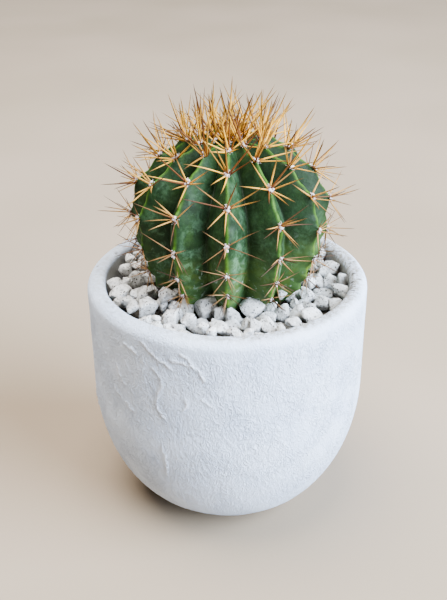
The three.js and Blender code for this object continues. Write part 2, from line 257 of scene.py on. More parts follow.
def maths(operation, a, b):
    return addNode(a.id_data, "Math", {0: a, 1: b}, operation=operation).outputs[0]


def times(first, *others):
    for other in others:
        first = maths("MULTIPLY", first, other)
    return first


def blend(share, a, b):
    return addNode(share.id_data, "Mix", {0: share, 6: a, 7: b}, data_type="RGBA").outputs[2]


def between(share, a, b):
    return blend(share, colour(a), colour(b))


def coat(base, tint, *shares):
    # a tint over the base, as strong as the shares multiplied
    return blend(times(*shares), base, colour(tint))


def bump(height, strength, distance, under=None):
    inputs = {"Height": height, "Strength": strength, "Distance": distance * mm}
    if under:
        inputs["Normal"] = under
    return addNode(height.id_data, "Bump", inputs).outputs["Normal"]


# camera, found from the pot's outline, its lip and the plant's crests in the photograph
camera = {
    "place": (-1.709, -346.697, 283.404),   # mm
    "pitch": 0.499645,                      # radians below level
    "roll": -0.007885,
    "lens": 54,
    "sensor": 36,
    "frame": (447, 600),                    # the photograph's size in pixels
}


def cameraAxes(at):
    # to the right, up and straight ahead
    ahead = np.array([0, math.cos(at["pitch"]), -math.sin(at["pitch"])])
    right = np.array([1, 0, 0])
    upright = np.array([0, math.sin(at["pitch"]), math.cos(at["pitch"])])
    turnedRight = right * math.cos(at["roll"]) + upright * math.sin(at["roll"])
    turnedUp = upright * math.cos(at["roll"]) - right * math.sin(at["roll"])
    return turnedRight, turnedUp, ahead


def pixelsAway(at):
    # how many pixel widths the picture is away from the eye
    return at["lens"] / at["sensor"] * max(at["frame"])


def sightLines(at, column, row):
    # directions from the camera through pixels of the photograph
    right, up, ahead = cameraAxes(at)
    width, height = at["frame"]
    across = (column - width / 2) / pixelsAway(at)
    down = (row - height / 2) / pixelsAway(at)
    return unit(ahead + np.outer(across, right) - np.outer(down, up))


def standing(place, right, up, back):
    # the matrix of a camera or a lamp at a place in millimetres, with these axes
    matrix = np.eye(4)
    matrix[:3] = np.column_stack([right, up, back, np.array(place) * mm])
    return Matrix(matrix.tolist())


def addCamera(at):
    right, up, ahead = cameraAxes(at)
    data = bpy.data.cameras.new("camera")
    data.lens = at["lens"]
    data.sensor_width = at["sensor"]
    data.clip_start = 0.01
    seen = addObject("camera", data)
    seen.matrix_world = standing(at["place"], right, up, -ahead)
    bpy.context.scene.camera = seen


addCamera(camera)
print("camera placed")


# floor and light
studio = {
    "floorSize": 9000,
    "floorColours": ("#948370", "#8b7b67"),
    "worldColour": "#f6efe4",
    "worldStrength": 0.115,
    "keyPlace": (1750, -800, 1130),   # soft window light from the right, a little in front
    "keySize": 2200,
    "keyPower": 418,
    "keyColour": (0.79, 0.93, 1.12),
    "topPlace": (-350, 0, 2000),      # the bright room above
    "topSize": 1500,
    "topPower": 138,
    "topColour": (1.0, 0.96, 0.9),
    "aim": (0, 0, 110),
}


def floorMaterial(tints):
    material, shader, place = newMaterial("paleFloor", Roughness=0.9)
    tone = between(patches(place, 260, 0.3, 0.7, 2), *tints)
    finish(shader, tone, bump(noise(place, 1.6), 0.15, 0.3))
    return material


def addFloor(facts):
    half = facts["floorSize"] / 2
    corners = np.array([[-half, -half, 0], [half, -half, 0], [half, half, 0], [-half, half, 0]])
    mesh = bpy.data.meshes.new("floor")
    mesh.from_pydata((corners * mm).tolist(), [], [(0, 1, 2, 3)])
    mesh.materials.append(floorMaterial(facts["floorColours"]))
    floor = addObject("floor", mesh)


def addSoftLight(name, facts):
    data = bpy.data.lights.new(name, "AREA")
    data.shape = "DISK"
    data.size = facts[name + "Size"] * mm
    data.energy = facts[name + "Power"]
    data.color = facts[name + "Colour"]
    start = np.array(facts[name + "Place"], dtype=float)
    back = unit(start - np.array(facts["aim"]))
    side = unit(np.cross([0, 0, 1], back))
    addObject(name, data).matrix_world = standing(start, side, np.cross(back, side), back)


def addWorld(facts):
    world = bpy.data.worlds.new("studioWorld")
    world.use_nodes = True
    backdrop = world.node_tree.nodes["Background"]
    backdrop.inputs["Color"].default_value = colour(facts["worldColour"])
    backdrop.inputs["Strength"].default_value = facts["worldStrength"]
    bpy.context.scene.world = world


addFloor(studio)
addSoftLight("key", studio)
addSoftLight("top", studio)
addWorld(studio)
print("studio ready")


# pot
pot = {
    "height": 108,
    "radius": 60,
    "wall": 7.5,
    "footRadius": 25,
    "floor": 8,
    "innerFloorRadius": 22,
    "shoulder": 57.6,         # where the rounded bottom meets the upright wall
    "roundness": 1.89,
    "outerRound": 4.2,
    "innerRound": 2.2,
    "hiddenBelow": 90,        # where the stones and the soil hide the inside
    "drainRadius": 5,
    "drainBevel": 0.6,
    "fineFrom": 62,           # above this height the rows are closer together
    "profileRows": {"foot": 7, "lower": 74, "upper": 88, "lip": 24, "inner": 12, "hidden": 14},
    "columns": 448,
    "frontDensity": 0.5,      # more of the columns stand at the front
    "wrinkle": 0.13,          # height of the wrinkled relief
    "foldSize": 2.3,          # distance between folds
    "fineSize": 1.25,
    "broadSize": 9,
    "creaseWidth": 0.16,
    "vein": 0.5,              # height of the raised veins
    "veinWidth": 0.5,
    "veinWaver": 1.1,
    "lipWaver": 0.22,         # the lip was smoothed by hand, so it dips and swells a little
    "smoothLip": 0.45,        # share of the relief that is left on the lip
    "pitDepth": 0.55,
    "nickedSide": 85,         # degrees: here the lip is nicked the most
}

# raised veins in the plaster, as (azimuth in degrees, height) points
potVeins = [
    [(-36, 106), (-34, 104), (-32, 102), (-30, 100), (-28, 98), (-25, 97), (-23, 95.5), (-21.5, 94.5)],
    [(-28.5, 92.5), (-27, 90.5), (-26, 88.5), (-25.5, 87), (-26, 85.5), (-27, 83), (-28, 79.5),
     (-28.5, 76.5), (-28, 74), (-26.5, 71.5), (-25, 70)],
    [(-21.5, 99), (-19.5, 98.5), (-17, 98), (-15.5, 97.5), (-14, 98), (-12.5, 97), (-11, 95),
     (-10, 93.5), (-9.5, 91.5)],
    [(-17.5, 102.5), (-16, 101), (-14.5, 99), (-14, 98)],
    [(-43, 99), (-40.5, 98), (-38.5, 97.5), (-37, 97)],
    [(-51, 74.5), (-49.5, 72.5), (-47.5, 71)],
    [(-48, 86), (-47, 82.5), (-45, 79.5)],
    [(-33.5, 95.5), (-33.5, 93.5)],
    [(-16.5, 81.5), (-16, 78.5), (-17, 76.5)],
    [(-27.5, 55), (-26, 52), (-26, 48), (-26, 44), (-26.5, 40.5)],
    [(-44, 70.5), (-42, 69), (-40.5, 67.5)],
    [(-10, 82), (-7, 80)],
    [(62, 84), (64, 80), (63, 75), (66, 70)],
    [(118, 97), (121, 93), (126, 90), (127, 85)],
    [(172, 72), (170, 66), (173, 61), (171, 55)],
    [(205, 101), (209, 97), (213, 95)],
    [(243, 88), (247, 84), (247, 78), (251, 73), (250, 67)],
    [(286, 62), (283, 56), (285, 50)],
]

# small pits on the lip, as (azimuth in degrees, distance from the axis, radius)
lipPits = [(98, 54.2, 0.7), (87, 53.6, 0.55), (80, 53.5, 0.9), (77, 53.4, 0.75), (73.5, 53.3, 0.8),
           (93, 57.2, 0.45), (70, 56.8, 0.4), (-62, 55.6, 0.4), (150, 54.1, 0.7), (163, 56.9, 0.5),
           (214, 54.4, 0.6), (248, 53.8, 0.7), (263, 57.3, 0.45), (12, 56.6, 0.35), (-24, 54.4, 0.4)]


def bowlCurve(facts, wallRadius, footRadius, floorHeight, steps):
    a = np.linspace(0, math.pi / 2, steps)
    out = np.sin(a) ** (2 / facts["roundness"])
    up = 1 - np.maximum(np.cos(a), 0) ** (2 / facts["roundness"])
    radius = lerp(footRadius, wallRadius, out)
    return np.stack([radius, lerp(floorHeight, facts["shoulder"], up)], axis=1)


def arcCurve(centreR, centreZ, radius, start, steps):
    # a quarter of a circle
    a = np.linspace(start, start + math.pi / 2, steps)
    return np.stack([centreR + radius * np.cos(a), centreZ + radius * np.sin(a)], axis=1)


def evenly(curve, count):
    # the same curve with evenly spaced points
    length = np.concatenate([[0], np.cumsum(np.hypot(*np.diff(curve, axis=0).T))])
    at = np.linspace(0, length[-1], count)
    return np.stack([np.interp(at, length, curve[:, 0]), np.interp(at, length, curve[:, 1])], axis=1)


def potProfile(facts):
    # from the drain hole out, up, over the lip and back down, and the row at which each stretch ends
    wall = facts["radius"]
    cavity = wall - facts["wall"]
    top = facts["height"]
    lipOut = facts["outerRound"]
    lipIn = facts["innerRound"]
    drain = facts["drainRadius"]
    bevel = facts["drainBevel"]
    upright = np.linspace(facts["shoulder"], top - lipOut, 101)[1:]
    outer = np.concatenate([bowlCurve(facts, wall, facts["footRadius"], 0, 300),
                            np.stack([np.full(100, wall), upright], axis=1)])
    high = np.searchsorted(outer[:, 1], facts["fineFrom"])
    bowl = bowlCurve(facts, cavity, facts["innerFloorRadius"], facts["floor"], 40)
    curves = {
        "foot": np.array([[drain + bevel, 0], [facts["footRadius"], 0]]),
        "lower": outer[:high + 1],
        "upper": outer[high:],
        "lip": np.concatenate([arcCurve(wall - lipOut, top - lipOut, lipOut, 0, 24),
                               arcCurve(cavity + lipIn, top - lipIn, lipIn, math.pi / 2, 16)]),
        "inner": np.array([[cavity, top - lipIn], [cavity, facts["hiddenBelow"]]]),
        "hidden": np.concatenate([[[cavity, facts["hiddenBelow"]]], bowl[::-1]]),
    }
    parts = [evenly(curve, facts["profileRows"][name])[:-1] for name, curve in curves.items()]
    ends = dict(zip(curves, np.cumsum([len(part) for part in parts])))
    parts += [bowl[:1], [[drain, facts["floor"]], [drain, bevel]]]
    return np.concatenate(parts), ends


def distanceToPath(points, path):
    # the shortest way from each point to a chain of line pieces
    best = np.full(len(points), 1e9)
    for start, end in zip(path[:-1], path[1:]):
        way = end - start
        share = np.clip(((points - start) @ way) / (way @ way), 0, 1)
        best = np.minimum(best, np.linalg.norm(points - start - share[:, None] * way, axis=1))
    return best


def potRelief(facts, points, azimuth, height):
    # the wrinkled plaster: fine folds that lean and wander up the wall, with a few raised veins
    leaning = points * np.array([1, 1, 0.6]) + np.outer(points[:, 2], [0.35, 0.25, 0])
    warp = np.stack([noiseAt(points, 8, seed) for seed in (1, 2, 3)], axis=1) * 2.6
    crease = bell(noiseAt(leaning + warp, facts["foldSize"], 4), facts["creaseWidth"])
    finer = noiseAt(leaning + warp * 0.5, facts["fineSize"], 5)
    broad = noiseAt(points, facts["broadSize"], 6)
    patchy = smoothstep(noiseAt(points, 26, 7), -0.55, 0.35)
    relief = facts["wrinkle"] * (crease * lerp(0.45, 1.0, patchy) + 0.55 * finer + 0.7 * broad)
    vein = np.zeros(len(points))
    waver = np.stack([noiseAt(points, 3, 8), noiseAt(points, 3, 9)], axis=1) * facts["veinWaver"]
    unrolled = np.stack([azimuth * facts["radius"], height], axis=1) + waver
    for path in potVeins:
        route = np.array(path, dtype=float)
        route[:, 0] = np.radians((route[:, 0] + 180) % 360 - 180) * facts["radius"]
        vein = np.maximum(vein, bell(distanceToPath(unrolled, route), facts["veinWidth"]))
    return relief, vein


def pitsAt(facts, points):
    pit = np.zeros(len(points))
    onLip = points[:, 2] > 100
    for degrees, distance, size in lipPits:
        centre = aroundAxis(math.radians(degrees), distance, facts["height"] - 0.4)
        away = np.linalg.norm((points - centre) * [1, 1, 0.6], axis=1)
        pit = np.maximum(pit, bell(away, size) * onLip)
    return pit


def creases(place, size, width):
    # thin raised lines where a wandering noise crosses its middle
    wavy = noise(place, size, 2, 0.5, 0.9)
    return ramp(maths("ABSOLUTE", maths("SUBTRACT", wavy, 0.5), 0), width, 0)


def potPlaster():
    material, shader, place = newMaterial("wrinkledPlaster", Specular_IOR_Level=0.28)
    base = between(patches(place, 17, 0.32, 0.68, 4, 0.6), "#c4d2e9", "#d1def2")
    # painted highlight: the raised folds and veins are made paler
    base = coat(base, "#e6ebf4", ramp(attribute(place, "relief"), 0.15, 0.95), 0.5)
    stain = ramp(noise(place, 2.4, 6, 0.82), 0.38, 0.6, 0.25, 1)
    base = coat(base, "#827d73", attribute(place, "lip"), stain, 0.95)
    # painted shade: the inner wall below the lip is darkened
    base = coat(base, "#858178", ramp(attribute(place, "inside"), 0.2, 1.0), 0.8)
    base = coat(base, "#a9a69d", dots(place, 3.4, 0.1, 0.03), patches(place, 6, 0.6, 0.68, 1))
    # painted shade: the pits in the lip are darkened inside
    base = coat(base, "#4f473b", attribute(place, "pit"))
    nicks = dots(stretched(place, Scale=(0.45, 1, 1)), 1.9, 0.36, 0.2)
    base = coat(base, "#3d362c", nicks, patches(place, 3.2, 0.44, 0.52, 2), attribute(place, "nicked"))
    slanted = stretched(place, Rotation=(0.35, 0.3, 0.2), Scale=(1, 1, 0.62))
    folds = maths("ADD", creases(slanted, 2.6, 0.07), times(creases(slanted, 1.3, 0.1), 0.6))
    folds = times(folds, ramp(noise(place, 14, 2), 0.35, 0.65, 0.35, 1))
    grain = times(noise(slanted, 0.8, 3, 0.6), 1.2)
    plaster = times(maths("ADD", folds, grain), attribute(place, "outside"))
    bumps = bump(dots(place, 1.3, 0.0, 0.22), 0.2, 0.16, bump(plaster, 1.0, 0.36))
    finish(shader, base, bumps, ramp(noise(place, 5), 0.3, 0.7, 0.8, 0.94))
    return material


def makePot(facts):
    profile, ends = potProfile(facts)
    rows = len(profile)
    columns = facts["columns"]
    turn = np.arange(columns) / columns * fullTurn - math.pi
    angle = np.tile(turn - facts["frontDensity"] * np.sin(turn), rows)
    radius, height = np.repeat(profile, columns, axis=0).T
    slope = np.gradient(profile, axis=0)
    normal = unit(np.stack([slope[:, 1], -slope[:, 0]], axis=1))
    normalR, normalZ = np.repeat(normal, columns, axis=0).T
    row = np.repeat(np.arange(rows), columns)
    points = aroundAxis(angle, radius, height)
    relief, vein = potRelief(facts, points, angle, height)
    outside = smoothstep(height, 1.5, 7) * (row < ends["upper"])
    inner = (row >= ends["lip"]) & (row < ends["inner"])
    belowLip = smoothstep(height, 106, 99)
    weight = np.where(row < ends["foot"], 0, outside * lerp(facts["smoothLip"], 1, belowLip))
    weight = np.where((row >= ends["upper"]) & (row < ends["inner"]), facts["smoothLip"], weight)
    lipWaver = noiseAt(aroundAxis(angle, facts["radius"], 0 * height), 17, 21)
    pit = pitsAt(facts, points)
    out = (relief * weight + facts["vein"] * vein * outside
           + smoothstep(height, 98, 106) * facts["lipWaver"] * lipWaver - pit * facts["pitDepth"])
    points = points + aroundAxis(angle, normalR * out, normalZ * out)
    # the top of the lip is stained, more on the right, where it's nicked too
    worn = (height > 90) * smoothstep(radius, facts["radius"] - 0.4, facts["radius"] - 4.5)
    worn = worn * lerp(0.5, 1, smoothstep(np.sin(angle), -0.7, 0.2))
    aside = np.abs((angle - math.radians(facts["nickedSide"]) + math.pi) % fullTurn - math.pi)
    last = (rows - 1) * columns + np.arange(columns)
    first = np.arange(columns)
    closing = np.stack([last, np.roll(last, -1), np.roll(first, -1), first], axis=1)
    # of these values, relief also paints the raised plaster paler (painted highlight), inside paints
    # shade on the inner wall and pit paints shade in the lip's pits
    values = {
        "relief": np.clip(relief / facts["wrinkle"] * 0.35 + vein, 0, 1) * outside,
        "inside": inner * smoothstep(height, 107.6, 104.5),
        "pit": np.clip(pit * 1.3, 0, 1),
        "lip": worn,
        "nicked": worn * lerp(0.12, 0.95, smoothstep(aside, 0.42, 0.2)),
        "outside": np.maximum(outside * lerp(0.35, 1, belowLip), facts["smoothLip"]),
    }
    piece = makePiece("pot_plaster", points, [ringFaces(rows, columns), closing], potPlaster(), values)
    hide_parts("pot")


makePot(pot)


# plant form
plant = {
    "centre": (1.2, 0.8),
    "radius": 40.6,
    "waist": 139,             # height of the widest level
    "crownHeight": 30.6,
    "crownRoundness": 1.82,
    "baseHeight": 49.9,
    "baseRoundness": 2.1,
    "sink": 3.2,
    "sinkWidth": 9,
    "neckAndRoot": [(22, 96), (14, 92.6), (7, 90), (5.6, 78), (4.5, 64)],   # (radius, height)
    "ribs": 12,
    "ribTurn": math.radians(-2.2),
    "ribDepth": 10,
    "crestRound": 0.07,
    "flankPower": 1.1,        # higher keeps the flanks fuller beside the crest
    "areoleTurns": 7,         # each rib's areoles are this many twelfths of a step from the last rib's
    "areoleBump": 1,
    "areoleMiddle": 42.4,     # length along the crest at the middle row
    "areoleReach": 58,
    "middleRow": 2.1,
    "rowEase": 4,
    "lowestAreole": 84.5,
    "firstRow": -1,
    "lastRow": 6.5,
}


def crestTable(facts):
    # the crest line of a rib from the crown down, and its length so far
    t = np.linspace(0, math.pi, 1201)[:-1]
    upper = t < math.pi / 2
    power = np.where(upper, 2 / facts["crownRoundness"], 2 / facts["baseRoundness"])
    r = facts["radius"] * np.sin(t) ** power
    reach = np.abs(np.cos(t)) ** power
    z = facts["waist"] + np.where(upper, facts["crownHeight"] * reach, -facts["baseHeight"] * reach)
    z = z - facts["sink"] * bell(r, facts["sinkWidth"])
    s = np.concatenate([[0], np.cumsum(np.hypot(np.diff(r), np.diff(z)))])
    return s, r, z


crestLine = crestTable(plant)


def crestAt(s):
    # radius, height and outward normal at s millimetres from the crown's centre
    length, radius, height = crestLine
    near = 0.3
    dr, dz = (np.interp(s + near, length, line) - np.interp(s - near, length, line)
              for line in (radius, height))
    size = np.hypot(dr, dz)
    return np.interp(s, length, radius), np.interp(s, length, height), -dz / size, dr / size


def lengthAtAreole(facts, u):
    # the rows lie closer together by the crown and by the foot
    fromMiddle = (u - facts["middleRow"]) / facts["rowEase"]
    return facts["areoleMiddle"] + facts["areoleReach"] * np.tanh(fromMiddle)


def areoleShift(facts, rib):
    shift = rib * facts["areoleTurns"] / facts["ribs"] + 0.5
    return shift - np.floor(shift) - 0.5


def shiftRamp(row):
    # rows are shifted in full between the crown and the foot
    return smoothstep(row, -1, 0.5) * (1 - smoothstep(row, 5.5, 7))


def ribAngle(facts, rib):
    return rib / facts["ribs"] * fullTurn + facts["ribTurn"]


def flankShape(facts, c):
    # 0 on the crest, 1 in the valleys on both sides, where c is -1 and 1
    bend = facts["crestRound"]
    rounded = np.hypot(c, bend) - bend
    return (rounded / (np.hypot(1, bend) - bend)) ** facts["flankPower"]


# skin of the plant
skin = {
    "sideColumns": 16,        # on each flank
    "crowding": 1.4,          # of the columns towards the crest
    "rows": 236,
    "swelling": 0.26,         # soft unevenness of the flanks
    "fineSwelling": 0.12,
    "crestWander": 0.7,       # sideways waver of the crest line
    "crestWidth": 0.6,        # half width of its pale line
    "pinch": 0.45,            # the fold above each areole
    "puff": 0.05,
    "footShallow": 0.15,      # the ribs are this share shallower by the stones
}


def cactusSkin():
    material, shader, place = newMaterial(
        "cactusSkin", Specular_IOR_Level=0.11, Subsurface_Weight=0.03,
        Subsurface_Radius=(0.5, 1.0, 0.3), Subsurface_Scale=1.5 * mm)
    crest = attribute(place, "crest")
    foot = attribute(place, "foot")
    base = between(patches(place, 9, 0.35, 0.65, 5, 0.6), "#112310", "#233d20")
    streaks = patches(stretched(place, Scale=(1, 1, 0.35)), 5, 0.5, 0.72, 4, 0.6)
    base = coat(base, "#2f4a1c", streaks, 0.6)
    bloom = patches(place, 5.5, 0.44, 0.64, 6, 0.7, 0.6)
    base = coat(base, "#517556", bloom, attribute(place, "bloom"))
    base = coat(base, "#0f200e", patches(place, 1.5, 0.42, 0.62, 5, 0.7, 0.5), 0.45)
    # painted light: paler olive towards the foot, as light thrown up by the white stones, stronger on
    # the c < 0 flank of each rib
    base = coat(base, "#3f5a2c", ramp(foot, 0.0, 1.0), 0.75)
    # painted shade: the upper body is darkened, most on the side towards +X, where the key light falls
    base = coat(base, "#0c1b0a", attribute(place, "deep"), 0.62)
    # the valleys are darkened nearly to black: partly the darker green they have, partly painted shade;
    # less of it towards the foot
    base = coat(base, "#0c190a", attribute(place, "valleyShade"), ramp(foot, 0, 1, 0.85, 0.1))
    base = coat(base, "#456f1b", crest, ramp(noise(place, 3.5), 0.25, 0.65, 0.3, 0.8))
    yellowing = patches(place, 5, 0.45, 0.62)
    base = coat(base, "#5f7018", attribute(place, "low"), yellowing, ramp(crest, 0.02, 0.5, 0.25, 0.9))
    scuffs = patches(place, 3.4, 0.58, 0.74, 4, 0.65, 0.5)
    base = coat(base, "#9fb1a6", scuffs, attribute(place, "scuff"))
    base = coat(base, "#4a6b42", dots(place, 1.1, 0.16, 0.05), 0.22)
    bumps = bump(noise(place, 0.7, 3, 0.6), 0.3, 0.2, bump(noise(place, 3.1, 4, 0.55), 0.4, 0.6))
    finish(shader, base, bumps, ramp(noise(place, 3.2, 4), 0.3, 0.7, 0.5, 0.66))
    return material


def skinColumns(facts):
    # places across a rib, closest together at the crest
    side = (np.arange(facts["sideColumns"] + 1) / facts["sideColumns"]) ** facts["crowding"]
    return np.concatenate([-side[:0:-1], side[:-1]])


def makeSkin(form, facts):
    across = skinColumns(facts)
    rib = np.repeat(np.arange(form["ribs"]), len(across))[None]
    c = np.tile(across, form["ribs"])[None]
    columns = c.shape[1]
    row = np.linspace(form["firstRow"], form["lastRow"], facts["rows"])[:, None]
    own = areoleShift(form, rib)
    neighbour = areoleShift(form, (rib + np.sign(c)) % form["ribs"])
    s = lengthAtAreole(form, row + shiftRamp(row) * lerp(own, (own + neighbour) / 2, np.abs(c)))
    r, z, normalR, normalZ = crestAt(s)
    # the areoles' bumps, with a dent between them and a fold above each
    nearest = np.round(row)
    fromAreole = row - nearest
    isAreole = (nearest >= 0) & (lengthAtAreole(form, nearest + shiftRamp(nearest) * own)
                                 <= form["lowestAreole"])
    onCrest = bell(c, 0.3)
    bumpUp = form["areoleBump"] * shiftRamp(row) * onCrest * bell(fromAreole, 0.26)
    dent = form["areoleBump"] * 0.5 * onCrest * bell(np.abs(fromAreole) - 0.5, 0.16)
    fold = bell(fromAreole + 0.2, 0.07) * bell(c, 0.16)
    # ribs, fuller and shallower towards the foot, and the flanks' soft unevenness
    foot = smoothstep(z, 148, 106)
    depth = form["ribDepth"] * smoothstep(s, 1, 30) * flankShape(form, c)
    depth = depth * (1 - facts["footShallow"] * foot)
    puff = facts["puff"] * np.sin(np.abs(c) * math.pi) ** 2 * smoothstep(s, 12, 30)
    straight = ribAngle(form, rib) + c / 2 * fullTurn / form["ribs"]
    rough = aroundAxis(straight, r - depth, z, form["centre"]).reshape(-1, 3)
    swelling = facts["swelling"] * noiseAt(rough, 7.5, 31)
    swelling += facts["fineSwelling"] * noiseAt(rough, 2.6, 32)
    swelling = swelling.reshape(s.shape) * smoothstep(s, 8, 20)
    out = bumpUp - dent * shiftRamp(row) + puff - depth + swelling - facts["pinch"] * fold * isAreole
    wander = np.stack(np.broadcast_arrays(row * 2.1, rib * 9.0, 0.0), axis=-1).reshape(-1, 3)
    wander = facts["crestWander"] * noiseAt(wander, 1.6, 33).reshape(s.shape)
    sideways = wander * (1 - np.abs(c)) ** 2 * smoothstep(s, 15, 30)
    azimuth = straight + sideways / np.maximum(r, 6)
    radius = np.maximum(r + normalR * out, 1)
    points = aroundAxis(azimuth, radius, z + normalZ * out, form["centre"])
    # neck and root close the body below the ribs
    rings = [aroundAxis(straight[0], *ring, form["centre"]) for ring in form["neckAndRoot"]]
    hubs = [aroundAxis(0, 0, crestAt(0.4)[1], form["centre"]),
            aroundAxis(0, 0, form["neckAndRoot"][-1][1], form["centre"])]
    points = np.concatenate([points.reshape(-1, 3), *rings, hubs])
    rows = facts["rows"] + len(rings)
    ring = np.arange(columns)
    faces = [ringFaces(rows, columns, flip=True), fanFaces(ring, rows * columns),
             fanFaces(ring + (rows - 1) * columns, rows * columns + 1, flip=True)]
    side = np.abs(c)
    # of these values, valley paints shade in the valleys (partly their own darker green), foot paints
    # light by the stones, stronger on the c < 0 flanks, and deep paints shade on the upper body, most
    # towards +X
    values = {
        "crest": bell(side * r * math.pi / form["ribs"], facts["crestWidth"]) * smoothstep(s, 4, 14),
        "valleyShade": side ** 3 * smoothstep(s, 10, 25),
        "low": smoothstep(z, 140, 108),
        "foot": foot * np.where(c < 0, 1, 0.55),
        "deep": smoothstep(z, 118, 150) * lerp(0.25, 1, smoothstep(np.sin(azimuth), 0.1, 0.85)),
        "bloom": (smoothstep(side, 0.1, 0.3) * smoothstep(s, 12, 30)
                  * (0.4 + 0.8 * bell(z - 122, 15)) * np.where(c > 0, 1, 0.5)),
        "scuff": (smoothstep(z, 140, 108) * smoothstep(side, 0.15, 0.4)
                  * (1 - smoothstep(side, 0.75, 0.95))),
    }
    below = np.zeros(len(points) - s.size)
    values = {name: np.concatenate([value.ravel(), below]) for name, value in values.items()}
    piece = makePiece("cactus_skin", points, faces, cactusSkin(), values)
    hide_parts("cactus")


makeSkin(plant, skin)


# spines of the ribs
ribSpines = {
    "seed": 31,
    "angles": (18, 64, 106, 146, 180, -146, -104, -62, -24),   # round the areole, from the crown's side
    "shares": (0.62, 1.12, 1.08, 0.78, 0.92, 0.8, 1.1, 1.12, 0.55),
    "chances": (0.35, 1, 1, 0.7, 0.6, 0.7, 1, 1, 0.4),
    "angleSpread": 10,
    "lift": (24, 50),         # degrees off the skin, at the waist and by the crown
    "liftSpread": (8, 15),
    "lengths": (11.6, 17.5, 8.5),       # at the waist, by the crown and by the stones
    "widths": (0.73, 1.08, 0.52),       # at the same places, as shares of the thickness
    "thickness": 0.335,
    "rootDepth": 0.3,
    "rings": 9,
    "sides": 8,
    "stoneClearance": 1.2,
    "crownLean": -0.35,       # near the crown a spine leans in by at most this share of its rise
}

gravelLevel = 104.5           # mean height of the stone tops, which climb towards the front
gravelRise = 0.06


def stoneTopAt(y):
    return gravelLevel - gravelRise * y


def areoles(form):
    # every areole with its frame: outward normal, sideways, and towards the crown
    found = []
    for rib in range(form["ribs"]):
        a = ribAngle(form, rib)
        radial = np.array([math.sin(a), -math.cos(a), 0])
        side = np.array([math.cos(a), math.sin(a), 0])
        for row in range(7):
            shifted = float(shiftRamp(np.array(float(row))))
            s = float(lengthAtAreole(form, row + shifted * areoleShift(form, rib)))
            if s > form["lowestAreole"]:
                continue
            r, z, normalR, normalZ = (float(v) for v in crestAt(s))
            normal = radial * normalR + np.array([0, 0, normalZ])
            found.append({
                "hub": aroundAxis(a, r, z, form["centre"]) + normal * form["areoleBump"] * shifted,
                "radial": radial, "normal": normal, "side": side, "crownward": -np.cross(side, normal),
                "youth": 1 - float(smoothstep(np.array(s), 12, 72)),
                "age": float(smoothstep(np.array(s), 55, 90)),
            })
    return found


def byAge(at, choices):
    # a value for an areole, from those at the waist, by the crown and by the stones
    middle, young, low = choices
    return lerp(lerp(middle, young, at["youth"]), low, at["age"])


def clearDirection(form, facts, direction, root, radial, length):
    # keeps a spine out of the crown's bunch and above the stones
    outward = direction @ radial
    needed = facts["crownLean"] * direction[2]
    if root[2] > form["waist"] and outward < needed:
        direction = direction + radial * (needed - outward)
    direction = unit(direction)
    steepest = (stoneTopAt(root[1]) + facts["stoneClearance"] - root[2]) / length
    for _ in range(30):
        if direction[2] >= steepest:
            break
        direction = unit(direction + radial * 0.1)
    return direction


def spinePath(root, direction, length, bend, steps):
    t = np.linspace(0, 1, steps)[:, None]
    return root + direction * length * t + bend * length * t * t


def spineWidths(count, steps):
    # swollen at the root, nearly even for most of its length, then drawn to a point
    t = np.linspace(0, 1, steps)
    body = (1 - 0.5 * t) * (1 - t ** 6) ** 0.7
    root = 1 + 0.25 * bell(t, 0.06)
    return np.tile(np.maximum(body * root, 0.035), (count, 1))


def strawMaterial():
    material, shader, place = newMaterial("spineStraw", Roughness=0.54, Specular_IOR_Level=0.22)
    along = attribute(place, "along")
    tone = ramp(attribute(place, "tone"), 0.05, 0.75)
    base = blend(attribute(place, "youth"), between(tone, "#2e1b13", "#a27c50"),
                 between(tone, "#5c2f08", "#e8ac30"))
    base = coat(base, "#6a3f16", patches(place, 1.1, 0.35, 0.7, 3, 0.6), 0.35)
    base = coat(base, "#7a4228", ramp(along, 0.16, 0.02), 0.65)
    base = coat(base, "#2c180a", ramp(along, 0.4, 0.95), 0.85)
    finish(shader, base, bump(noise(place, 0.5, 2), 0.2, 0.08))
    return material


spineStraw = strawMaterial()


def makeSpines(name, random, facts, grown):
    # spines as a path, a width and a youth each
    paths, widths, youths = zip(*grown)
    radii = spineWidths(len(paths), facts["rings"]) * np.array(widths)[:, None]
    tubes = sweepTubes(np.array(paths), radii, facts["sides"])
    tone = random.uniform(0, 1, len(paths))
    values = {"along": tubes["along"], "tone": tone[tubes["owner"]],
              "youth": np.array(youths)[tubes["owner"]]}
    piece = makePiece(name, tubes["points"], tubes["faces"], spineStraw, values)
    return piece


